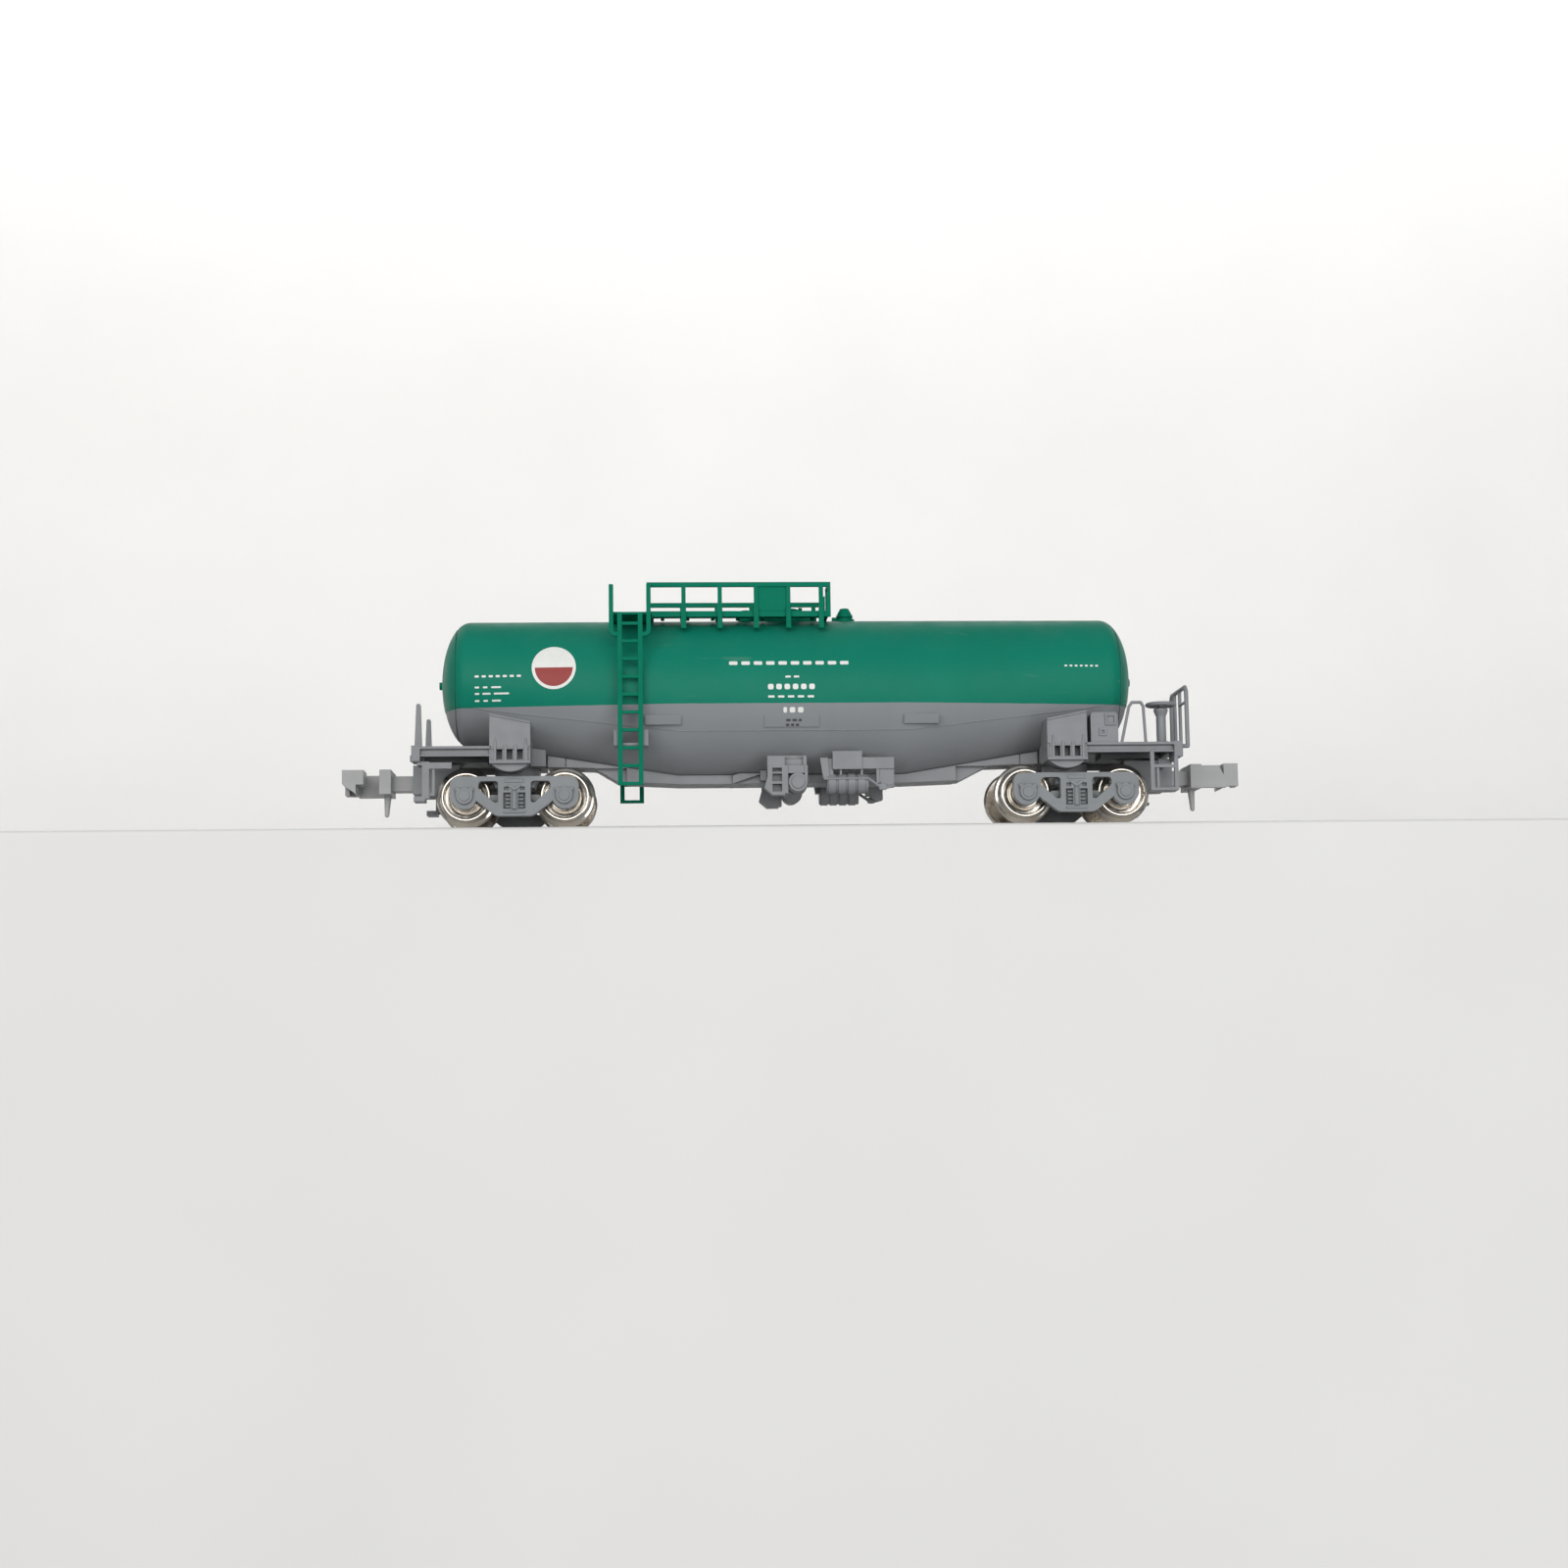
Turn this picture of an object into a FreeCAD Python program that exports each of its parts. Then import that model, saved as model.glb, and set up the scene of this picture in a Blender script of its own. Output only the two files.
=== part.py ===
import FreeCAD, Part
import os
from math import acos, asin, cos, radians, sin, tan
from FreeCAD import Vector

# Model tank wagon on two bogies, 1:150 scale for 9 mm gauge track.
# Millimetres. X runs along the wagon, Y across it, Z is up.
# The origin is midway between the bogies, level with the lowest point of the wheel flanges.

# ---- wheels and bogies
AXLE_Z = 3.4
FLANGE_R = 3.4
TREAD_R = 2.87
BACK_TO_BACK = 7.4
WHEEL_W = 2.0
HUB_Y = 1.75
AXLE_R = 0.75
BUSH_R = 1.05
BOGIE_X = 31.4
WHEELBASE = 11.0
AXLE_TIP_Y = 7.1
PIVOT_CLEARANCE = 0.06

FRAME_IN_Y = 6.5
FRAME_OUT_Y = 7.6
FRAME_TOP = 2.08
FRAME_BOTTOM = -2.35
FRAME_END_X = 7.1

# ---- couplers
COUPLER_PIVOT_X = 9.2
COUPLER_Z = 5.45
COUPLER_TIP_X = 19.6
POCKET_X0 = 6.4
POCKET_X1 = 11.6
POCKET_Y = 2.9

# ---- tank
TANK_CX = -0.53
TANK_HALF = 39.43
TANK_TOP = 24.0
TANK_R_MID = 9.1
TANK_R_END = 7.25
TANK_WALL = 0.8
HEAD_DEPTH = 3.3
GROOVE_AT = 0.4
GROOVE_DEPTH = 0.14
NUB_R = 0.45
NUB_H = 0.35
MID_X0 = -13.2
MID_X1 = 12.6
LOWER_STEP = 0.06
PART_Z_MID = 10.4
PART_SLOPE = 0.124

# ---- walkway and ladders
RAIL_Y = 6.2
DECK_TOP = 24.2
RAIL_TOP = 27.5
WALK_X0 = -16.43
WALK_X1 = 4.0
RAIL_POSTS = (-12.47, -8.38, -4.29, -0.64, 3.07)
LADDER_X = -18.5
LADDER_Y = 9.5
LADDER_W = 2.8
LADDER_BOTTOM = 4.15
LADDER_TOP = 23.45
RUNG_PITCH = 1.99

# ---- underframe
SILL_Y = 9.3
SILL_TOP = 8.65
DECK_END_FRONT = 42.35
DECK_END_REAR = 41.75
BEAM_DEPTH = 0.85
CRADLE_W = 4.5
CRADLE_TOP = 11.8
CRADLE_RISE = 0.45
CRADLE_X_FRONT = 30.2
CRADLE_X_REAR = -31.8
PIN_R = 1.3
BRAKE_Y = 7.6
CYLINDER_Z = 4.6
RESERVOIR_Z = 4.55

NODES = {}


def box(x0, x1, y0, y1, z0, z1):
    low = Vector(min(x0, x1), min(y0, y1), min(z0, z1))
    return Part.makeBox(abs(x1 - x0), abs(y1 - y0), abs(z1 - z0), low)


def cyl(r, start, end):
    a = Vector(*start)
    d = Vector(*end) - a
    return Part.makeCylinder(r, d.Length, a, d)


def cone(r0, r1, start, end):
    a = Vector(*start)
    d = Vector(*end) - a
    return Part.makeCone(r0, r1, d.Length, a, d)


def prism_xz(points, y0, y1):
    wire = Part.makePolygon([Vector(x, y0, z) for x, z in points + points[:1]])
    return Part.Face(wire).extrude(Vector(0, y1 - y0, 0))


def prism_yz(points, x0, x1):
    wire = Part.makePolygon([Vector(x0, y, z) for y, z in points + points[:1]])
    return Part.Face(wire).extrude(Vector(x1 - x0, 0, 0))


def rounded_prism_xz(points, y0, y1):
    """Prism over a polygon of (x, z, radius) corners, each rounded to its own radius."""
    corners = [Vector(x, y0, z) for x, z, _ in points]
    edges = []
    ends = []
    for i, (corner, (_, _, r)) in enumerate(zip(corners, points)):
        u = (corners[i - 1] - corner).normalize()
        v = (corners[(i + 1) % len(corners)] - corner).normalize()
        half = u.getAngle(v) / 2
        start, stop = corner + u * (r / tan(half)), corner + v * (r / tan(half))
        middle = corner + (u + v).normalize() * (r / sin(half) - r)
        edges.append(Part.Arc(start, middle, stop).toShape())
        ends.append((start, stop))
    sides = [Part.makeLine(ends[i - 1][1], ends[i][0]) for i in range(len(ends))]
    outline = [edge for pair in zip(sides, edges) for edge in pair]
    return Part.Face(Part.Wire(outline)).extrude(Vector(0, y1 - y0, 0))


def fuse(shapes):
    return shapes[0].multiFuse(shapes[1:]).removeSplitter()


def cut(shape, tools):
    return shape.cut(Part.makeCompound(tools)).removeSplitter()


def rod(points, r):
    """A round rod through the points, with a ball at each bend."""
    parts = [cyl(r, a, b) for a, b in zip(points, points[1:])]
    parts += [Part.makeSphere(r, Vector(*p)) for p in points[1:-1]]
    return fuse(parts)


def mirror_y(shape):
    return shape.mirror(Vector(0, 0, 0), Vector(0, 1, 0))


def turn_about_z(shape, degrees):
    copy = shape.copy()
    copy.rotate(Vector(0, 0, 0), Vector(0, 0, 1), degrees)
    return copy


def moved(shape, x, y=0.0, z=0.0):
    copy = shape.copy()
    copy.translate(Vector(x, y, z))
    return copy


# ------------------------------------------------------------------ tank


def tank_radius(x, shrink=0.0):
    """Radius of the tank at a station; every section touches the straight top line."""
    end0 = TANK_CX - TANK_HALF + HEAD_DEPTH
    end1 = TANK_CX + TANK_HALF - HEAD_DEPTH
    drop = TANK_R_MID - TANK_R_END
    if x < MID_X0:
        share = min(1.0, (MID_X0 - x) / (MID_X0 - end0))
    elif x > MID_X1:
        share = min(1.0, (x - MID_X1) / (end1 - MID_X1))
    else:
        share = 0.0
    return TANK_R_MID - drop * share - shrink


def section(x, shrink):
    """Round section of the tank in two halves, so that its seams lie on the centre plane."""
    centre = TANK_TOP - tank_radius(x)
    r = tank_radius(x) - shrink
    top, bottom = Vector(x, 0, centre + r), Vector(x, 0, centre - r)
    near, far = Vector(x, -r, centre), Vector(x, r, centre)
    return Part.Wire([Part.Arc(top, near, bottom).toShape(), Part.Arc(bottom, far, top).toShape()])


def head_profile(r, depth, detailed):
    """Half outline of a dished end; the detailed one has a ring groove and a centre nub."""
    ellipse = Part.Ellipse(Vector(0, 0, 0), r, depth)
    stops = [asin(GROOVE_AT), asin(GROOVE_AT + 0.05), acos(NUB_R / r)]
    edge0, edge1, edge2 = [Vector(r * cos(t), depth * sin(t), 0) for t in stops]
    a, o = Vector(r, 0, 0), Vector(0, 0, 0)
    if not detailed:
        top = Vector(0, edge2.y, 0)
        curve = Part.ArcOfEllipse(ellipse, 0, stops[2]).toShape()
        return [Part.makeLine(o, a), curve, Part.makeLine(edge2, top), Part.makeLine(top, o)]
    deep0, deep1 = edge0 - Vector(GROOVE_DEPTH, 0, 0), edge1 - Vector(GROOVE_DEPTH, 0, 0)
    top0, top1 = Vector(NUB_R, depth + NUB_H, 0), Vector(0, depth + NUB_H, 0)
    outline = [Part.makeLine(o, a), Part.ArcOfEllipse(ellipse, 0, stops[0]).toShape()]
    outline += [Part.makeLine(edge0, deep0), Part.makeLine(deep0, deep1), Part.makeLine(deep1, edge1)]
    outline += [Part.ArcOfEllipse(ellipse, stops[1], stops[2]).toShape()]
    outline += [Part.makeLine(edge2, top0), Part.makeLine(top0, top1), Part.makeLine(top1, o)]
    return outline


def head(shrink, direction, detailed):
    """Ellipsoidal dished end, built on the plane where it meets the tank."""
    face = Part.Face(Part.Wire(head_profile(TANK_R_END - shrink, HEAD_DEPTH - shrink, detailed)))
    solid = face.revolve(Vector(0, 0, 0), Vector(0, 1, 0), 360)
    solid.rotate(Vector(0, 0, 0), Vector(0, 0, 1), -90 * direction)
    station = TANK_CX + direction * (TANK_HALF - HEAD_DEPTH)
    return moved(solid, station, 0, TANK_TOP - TANK_R_END)


def tank_solid(shrink, detailed=False):
    """The whole tank, each surface pulled in by shrink: a round barrel, two tapers and two ends."""
    end0 = TANK_CX - TANK_HALF + HEAD_DEPTH
    end1 = TANK_CX + TANK_HALF - HEAD_DEPTH
    centre = TANK_TOP - TANK_R_MID
    parts = [cyl(TANK_R_MID - shrink, (MID_X0, 0, centre), (MID_X1, 0, centre))]
    parts += [Part.makeLoft([section(end0, shrink), section(MID_X0, shrink)], True, True)]
    parts += [Part.makeLoft([section(MID_X1, shrink), section(end1, shrink)], True, True)]
    parts += [head(shrink, -1, detailed), head(shrink, 1, detailed)]
    return parts[0].multiFuse(parts[1:])


def part_line_z(x):
    if x < MID_X0:
        return PART_Z_MID + PART_SLOPE * (MID_X0 - x)
    if x > MID_X1:
        return PART_Z_MID + PART_SLOPE * (x - MID_X1)
    return PART_Z_MID


def below_part_line():
    stations = [-45.0, MID_X0, MID_X1, 45.0]
    points = [(x, part_line_z(x)) for x in stations]
    return prism_xz([(-45.0, 0.0)] + points + [(45.0, 0.0)], -15, 15)


def wall_pad(x0, x1, z0, z1, thick):
    """A shallow raised pad on both flanks of the middle of the tank."""
    centre = TANK_TOP - TANK_R_MID
    outer = cyl(TANK_R_MID + thick, (x0, 0, centre), (x1, 0, centre))
    inner = cyl(TANK_R_MID - 0.3, (x0, 0, centre), (x1, 0, centre))
    ring = outer.cut(inner)
    return ring.common(fuse([box(x0, x1, -12, -6, z0, z1), box(x0, x1, 6, 12, z0, z1)]))


def tank_shells():
    inner = tank_solid(TANK_WALL)
    below = below_part_line()
    upper = tank_solid(0.0, True).cut(inner).cut(below)
    pads = [wall_pad(-16.9, -12.9, 11.0, 12.0, 0.28), wall_pad(12.0, 15.9, 11.0, 12.0, 0.28)]
    pads += [wall_pad(-3.6, 2.5, 10.7, 11.95, 0.12)]
    NODES["tank_shell_upper"] = upper.multiFuse([pad.cut(inner) for pad in pads])
    NODES["tank_shell_lower"] = tank_solid(LOWER_STEP, True).cut(inner).common(below)


def ballast():
    """Steel bar inside the tank that gives the light plastic model its weight."""
    NODES["ballast_weight"] = box(-22, 21, -3.8, 3.8, 9.9, 13.4)
    seats = []
    for x in (-20.0, 0.0, 19.0):
        foot = box(x - 1, x + 1, -3.4, 3.4, 5.0, 9.9)
        seats.append(foot.common(tank_solid(TANK_WALL)))
    NODES["tank_shell_lower"] = NODES["tank_shell_lower"].multiFuse(seats)


# ------------------------------------------------------------------ fittings on top


def manhole():
    """Manhole neck with its lid and six bolts, with two small valve covers beside it."""
    x, z = -0.7, TANK_TOP
    parts = [cyl(2.0, (x, 0, z - 0.4), (x, 0, z + 0.85)), cyl(2.25, (x, 0, z + 0.85), (x, 0, z + 1.2))]
    parts += [cyl(1.6, (x, 0, z + 1.2), (x, 0, z + 1.4))]
    for k in range(6):
        a = radians(30 + 60 * k)
        bx, by = x + 2.0 * cos(a), 2.0 * sin(a)
        parts.append(cyl(0.22, (bx, by, z + 1.1), (bx, by, z + 1.5)))
    for dx, y in ((-4.6, 1.2), (-4.6, -1.2)):
        parts.append(cyl(0.75, (x + dx, y, z - 0.5), (x + dx, y, z + 0.75)))
        parts.append(cyl(0.5, (x + dx, y, z + 0.75), (x + dx, y, z + 1.15)))
    parts.append(box(x - 5.4, x - 1.5, -0.5, 0.5, z - 0.3, z + 0.55))
    parts.append(box(x + 1.5, x + 3.6, -1.1, 1.1, z - 0.3, z + 0.7))
    NODES["manhole_and_valves"] = fuse(parts).cut(tank_solid(0.0))


def vent_valve():
    x, z = 6.2, TANK_TOP
    parts = [cyl(1.15, (x, 0, z - 0.3), (x, 0, z + 0.28)), cyl(0.8, (x, 0, z + 0.28), (x, 0, z + 1.0))]
    parts += [cyl(0.95, (x, 0, z + 0.5), (x, 0, z + 0.78))]
    parts += [cone(0.8, 0.5, (x, 0, z + 1.0), (x, 0, z + 1.55))]
    parts += [box(x - 1.45, x - 0.9, -0.4, 0.4, z - 0.2, z + 0.5)]
    NODES["vent_valve"] = fuse(parts).cut(tank_solid(0.0))


def walkway_deck():
    """Two lengthways boards on cross bearers, and a landing out to each ladder."""
    parts = []
    for side in (-1, 1):
        parts.append(box(WALK_X0, WALK_X1, side * 3.1, side * 6.35, DECK_TOP - 0.25, DECK_TOP))
        parts.append(box(WALK_X0, WALK_X1, side * 6.05, side * 6.35, DECK_TOP - 0.65, DECK_TOP))
        parts.append(box(LADDER_X - 1.95, WALK_X0 + 0.4, side * 3.1, side * 9.25, 23.3, 23.6))
        parts.append(box(WALK_X0 - 0.2, WALK_X0 + 0.4, side * 3.1, side * 6.35, 23.3, DECK_TOP))
        for k in range(7):
            x = WALK_X0 + 1.6 + 2.85 * k
            parts.append(box(x - 0.2, x + 0.2, side * 2.9, side * 6.1, DECK_TOP - 0.5, DECK_TOP - 0.1))
    for x in (WALK_X0 + 0.3, -8.4, WALK_X1 - 0.3):
        parts.append(box(x - 0.3, x + 0.3, -3.2, 3.2, TANK_TOP - 0.1, DECK_TOP))
    parts.append(box(LADDER_X - 1.95, LADDER_X - 1.35, -3.2, 3.2, 23.3, TANK_TOP + 0.15))
    deck = fuse(parts).cut(tank_solid(-0.02))
    slots = []
    for side in (-1, 1):
        for k in range(2):
            y = side * (3.75 + 1.1 * k)
            for j in range(5):
                x = -14.6 + 3.7 * j
                slots.append(box(x, x + 2.4, y - 0.14, y + 0.14, DECK_TOP - 0.12, DECK_TOP + 0.1))
    NODES["walkway_deck"] = cut(deck, slots)


def walkway_rail(side):
    y = side * RAIL_Y
    parts = [box(WALK_X0 - 0.2, WALK_X1 + 0.15, y - 0.2, y + 0.2, RAIL_TOP - 0.52, RAIL_TOP)]
    for x in RAIL_POSTS:
        parts.append(box(x - 0.24, x + 0.24, y - 0.2, y + 0.2, DECK_TOP, RAIL_TOP - 0.2))
        parts.append(box(x - 0.28, x + 0.28, y - side * 0.14, y + side * 0.4, 22.2, DECK_TOP + 0.3))
    parts.append(box(WALK_X1 - 0.2, WALK_X1 + 0.15, y - 0.2, y + 0.2, DECK_TOP - 0.65, RAIL_TOP))
    parts.append(box(WALK_X0 - 0.2, WALK_X0 + 0.2, y - 0.2, y + 0.2, DECK_TOP, RAIL_TOP - 0.2))
    parts.append(box(-4.2, -0.7, y - 0.08, y + 0.08, DECK_TOP + 0.02, RAIL_TOP - 0.2))
    if side > 0:
        parts.append(box(WALK_X1 - 0.15, WALK_X1 + 0.15, 2.2, y, RAIL_TOP - 0.4, RAIL_TOP))
        parts.append(box(WALK_X1 - 0.15, WALK_X1 + 0.15, 2.2, 2.6, DECK_TOP, RAIL_TOP))
    else:
        parts.append(box(WALK_X1 - 0.15, WALK_X1 + 0.15, y, -2.2, RAIL_TOP - 0.4, RAIL_TOP))
        parts.append(box(WALK_X1 - 0.15, WALK_X1 + 0.15, -2.6, -2.2, DECK_TOP, RAIL_TOP))
    rail = fuse(parts).cut(tank_solid(-0.02)).cut(NODES["walkway_deck"])
    name = "walkway_rail_far" if side > 0 else "walkway_rail_near"
    NODES[name] = largest(rail)


def largest(shape):
    return max(shape.Solids, key=lambda s: s.Volume)


def ladder(side):
    """Ladder with a bent grip on each side, tied at its head to the walkway rail."""
    y = side * LADDER_Y
    half = LADDER_W / 2
    parts = []
    for sx in (-1, 1):
        x = LADDER_X + sx * (half - 0.26)
        parts.append(box(x - 0.26, x + 0.26, y - 0.22, y + 0.22, LADDER_BOTTOM, LADDER_TOP))
        inner, outer = LADDER_X + sx * 1.83, LADDER_X + sx * 2.33
        grip = [(x, 20.8, 0.02), (outer, 20.8, 0.75), (outer, 26.65, 0.12), (inner, 26.65, 0.12)]
        grip += [(inner, 21.25, 0.28), (x, 21.25, 0.02)]
        parts.append(rounded_prism_xz(grip, y - 0.2, y + 0.2))
    for k in range(10):
        z = LADDER_BOTTOM + 0.18 + RUNG_PITCH * k
        rung = box(LADDER_X - half + 0.1, LADDER_X + half - 0.1, y - 0.18, y + 0.18, z - 0.18, z + 0.18)
        parts.append(rung)
    parts.append(box(LADDER_X - half, LADDER_X + half, y - 0.2, y + 0.2, LADDER_TOP - 0.2, LADDER_TOP))
    tie = [(y - side * 0.1, 26.15), (y - side * 0.1, 26.6), (side * 6.42, 27.3), (side * 6.42, 26.95)]
    parts.append(prism_yz(tie, LADDER_X + 1.83, LADDER_X + 2.33))
    name = "ladder_far" if side > 0 else "ladder_near"
    NODES[name] = fuse(parts)


def ladder_bracket(side):
    """Grey bracket that ties the foot of the ladder to the tank."""
    x0, x1 = -20.35, -16.55
    parts = [box(x0, x0 + 0.35, side * 7.0, side * 9.27, 8.6, 10.35)]
    parts.append(box(x1 - 0.35, x1, side * 7.0, side * 9.27, 8.6, 10.35))
    parts.append(box(x0, x1, side * 7.0, side * 9.2, 8.6, 8.9))
    parts.append(box(x0, x0 + 0.75, side * 9.0, side * 9.27, 8.6, 10.35))
    parts.append(box(x1 - 0.75, x1, side * 9.0, side * 9.27, 8.6, 10.35))
    name = "ladder_bracket_far" if side > 0 else "ladder_bracket_near"
    NODES[name] = largest(fuse(parts).cut(tank_solid(-0.01)))


# ------------------------------------------------------------------ underframe


def sill(x0, x1, side):
    """Channel-section side sill under the edge of the end deck."""
    y = side * SILL_Y
    inner = side * (SILL_Y - 0.8)
    flange = box(x0, x1, y, side * (SILL_Y - 1.2), SILL_TOP - 0.3, SILL_TOP)
    web = box(x0, x1, y - side * 0.4, inner, 7.55, SILL_TOP - 0.2)
    foot = box(x0, x1, y - side * 0.2, inner, 7.55, 7.75)
    return [flange, web, foot]


def cradle_top(cx, x):
    """Height of a cradle's top, which falls towards the middle of the wagon."""
    outward = 1 if cx > 0 else -1
    return CRADLE_TOP + outward * CRADLE_RISE * (x - cx) / (CRADLE_W / 2)


def cradle(cx, side):
    """Box bracket that holds the tank over the bogie, with three openings in its face."""
    half = CRADLE_W / 2
    y = side * SILL_Y
    z0, z1 = cradle_top(cx, cx - half), cradle_top(cx, cx + half)
    block = prism_xz([(cx - half, 6.7), (cx + half, 6.7), (cx + half, z1), (cx - half, z0)], side * 4.8, y)
    tools = []
    for k in (-1, 0, 1):
        x = cx - 0.05 + 1.13 * k
        tools.append(box(x - 0.36, x + 0.36, y + side * 0.1, y - side * 1.2, 7.13, 8.28))
    tools.append(box(cx - half - 0.1, cx - half + 0.22, y + side * 0.1, y - side * 0.12, 6.98, 8.6))
    tools.append(box(cx + half - 0.22, cx + half + 0.1, y + side * 0.1, y - side * 0.12, 6.98, 8.6))
    block = block.cut(Part.makeCompound(tools))
    ribs = []
    for k in range(4):
        x = cx - 1.62 + 1.13 * k
        ribs.append(box(x - 0.14, x + 0.14, y - side * 0.3, y + side * 0.1, 7.0, 8.75))
    for x in (cx - 1.62, cx + 1.77):
        spike = [(x - 0.16, 8.4), (x + 0.16, 8.4), (x + 0.05, 9.5), (x - 0.05, 9.5)]
        ribs.append(prism_xz(spike, y - side * 0.3, y + side * 0.1))
    ribs.append(box(cx - half, cx + half, y - side * 0.3, y + side * 0.12, 6.7, 7.0))
    ribs.append(box(cx - half + 0.2, cx + half - 0.2, y - side * 0.3, y + side * 0.06, 8.28, 8.45))
    cap = [(cx - half, z0 - 0.2), (cx + half, z1 - 0.2), (cx + half, z1), (cx - half, z0)]
    ribs.append(prism_xz(cap, y - side * 0.3, y + side * 0.1))
    return [block] + ribs


def bolster_lip(cx, side):
    """Rounded lower edge of the bolster, just above the bogie side frame."""
    r = 2.9
    drop = 5.85
    barrel = cyl(r, (cx, side * 6.6, drop + r), (cx, side * 8.9, drop + r))
    return barrel.common(box(cx - 2.1, cx + 2.1, side * 6.6, side * 8.9, drop - 0.1, 6.75))


def saddle(cx):
    """Cross-member under the tank, shaped to it."""
    x0, x1 = cx - 1.7, cx + 1.7
    top0, top1 = cradle_top(cx, x0) - 0.2, cradle_top(cx, x1) - 0.2
    return prism_xz([(x0, 7.0), (x1, 7.0), (x1, top1), (x0, top0)], -8.0, 8.0)


def underframe(direction):
    cx = CRADLE_X_FRONT if direction > 0 else CRADLE_X_REAR
    inner = cx + direction * (CRADLE_W / 2 - 0.05)
    end = DECK_END_FRONT if direction > 0 else -DECK_END_REAR
    beam = end + direction * BEAM_DEPTH
    pin_x = direction * BOGIE_X
    parts = [box(inner, end, -9.0, 9.0, SILL_TOP - 0.35, SILL_TOP), saddle(cx)]
    for side in (-1, 1):
        parts += sill(inner, end, side)
        parts += cradle(cx, side)
        parts.append(bolster_lip(cx, side))
        parts.append(box(end - direction * 0.1, beam, side * 6.4, side * 9.3, 7.0, SILL_TOP + 0.1))
        parts.append(box(beam - direction * 0.3, beam + direction * 0.2, side * 7.6, side * 8.5, 7.1, 7.75))
    parts.append(box(end - direction * 0.1, beam, -9.3, 9.3, 7.75, SILL_TOP + 0.1))
    parts.append(box(end - direction * 7.0, end, -1.6, 1.6, 7.75, SILL_TOP))
    parts.append(cyl(2.6, (pin_x, 0, 5.78), (pin_x, 0, 9.0)))
    parts.append(box(pin_x - direction * 3.3, pin_x + direction * 2.2, -3.4, 3.4, 7.05, 9.4))
    body = fuse(parts).cut(tank_solid(-0.02))
    hole = cyl(PIN_R, (pin_x, 0, 5.0), (pin_x, 0, 8.2))
    body = largest(body.cut(hole))
    name = "underframe_front" if direction > 0 else "underframe_rear"
    NODES[name] = body


def king_pin(direction):
    """Shouldered pin that holds a bogie to the underframe and lets it swivel."""
    x = direction * BOGIE_X
    parts = [cyl(PIN_R, (x, 0, 4.2), (x, 0, 8.15)), cyl(2.1, (x, 0, 3.65), (x, 0, 4.2))]
    pin = fuse(parts)
    slot = box(x - 2.2, x + 2.2, -0.2, 0.2, 3.5, 3.95)
    name = "king_pin_front" if direction > 0 else "king_pin_rear"
    NODES[name] = pin.cut(slot)


def keel():
    """Narrow floor strip under the tank that ties the two ends together and carries the brake gear."""
    rear = [(-27.95, 9.3), (-27.95, 7.1), (-22.6, 6.95), (-20.0, 5.4), (-13.0, 5.05)]
    front = [(12.5, 5.05), (19.0, 5.3), (22.2, 6.95), (27.95, 7.1), (27.95, 9.3)]
    wide = prism_xz(rear + front, -2.2, 2.2)
    seams = fuse([box(x - 0.06, x + 0.06, side * 2.05, side * 2.3, 6.8, 9.4)
                  for x in (-25.9, 25.9) for side in (-1, 1)])
    narrow = fuse([box(-26.5, -19.0, side * 1.6, side * 2.4, 4.0, 6.9) for side in (-1, 1)]
                  + [box(18.5, 26, side * 1.6, side * 2.4, 4.0, 6.9) for side in (-1, 1)])
    body = wide.cut(narrow).cut(seams).cut(tank_solid(-0.02))
    return largest(body)


def brake_arm(side):
    """Flat pull rod rising from the keel to the brake cylinder."""
    y = side * 2.2
    return prism_xz([(-7.0, 5.05), (-7.0, 5.95), (-3.9, 6.95), (-3.9, 6.05)], y, y + side * 0.5)


def keel_node():
    hangers = []
    for side in (-1, 1):
        hangers.append(brake_arm(side))
        hangers.append(box(-3.9, -0.4, side * 2.0, side * 7.3, 6.7, 7.3))
        hangers.append(box(4.2, 10.8, side * 2.0, side * 7.3, 6.6, 7.2))
        hangers.append(box(-3.9, -3.2, side * 2.1, side * 3.4, 5.3, 7.2))
    body = fuse([keel()] + hangers).cut(tank_solid(-0.02))
    NODES["keel"] = largest(body)


def brake_cylinder_unit(side):
    """Hanger plate with slots, and the brake cylinder with its round end facing out."""
    y = side * BRAKE_Y
    back = side * 6.2
    z = CYLINDER_Z
    outline = [(-3.3, z + 2.95), (-1.35, z + 2.95), (-1.35, z - 1.45), (-2.75, z - 1.45)]
    plate = prism_xz(outline + [(-3.65, z - 0.65), (-3.3, z + 0.6)], back, y)
    slots = []
    for low, high in ((z + 1.15, z + 1.6), (z + 0.1, z + 0.95), (z - 1.05, z - 0.2)):
        slots.append(box(-2.75, -1.7, y + side * 0.1, y - side * 0.7, low, high))
    parts = [plate.cut(Part.makeCompound(slots))]
    parts += [box(-1.35, 1.2, back, y - side * 0.1, z + 1.0, z + 1.9)]
    parts += [box(-1.35, -1.0, back, y, z - 1.25, z + 1.9)]
    parts += [box(0.85, 1.2, back, y, z + 0.1, z + 1.9)]
    parts += [box(-1.35, 1.0, back, y - side * 0.5, z + 1.9, z + 2.6)]
    parts += [box(0.7, 1.1, back, y - side * 0.2, z + 1.9, z + 2.9)]
    parts += [cyl(1.05, (0.1, side * 3.0, z), (0.1, y + side * 0.05, z))]
    parts += [cyl(0.72, (0.1, y, z), (0.1, y + side * 0.2, z))]
    parts += [cyl(1.2, (0.1, side * 4.4, z), (0.1, side * 4.8, z))]
    parts += [box(-1.1, 1.1, side * 5.2, side * 6.3, z, 7.0)]
    parts += [box(-3.3, 1.1, side * 6.0, side * 6.6, 6.5, 7.7)]
    body = fuse(parts).cut(tank_solid(-0.02)).cut(NODES["keel"])
    name = "brake_cylinder_far" if side > 0 else "brake_cylinder_near"
    NODES[name] = largest(body)


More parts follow.
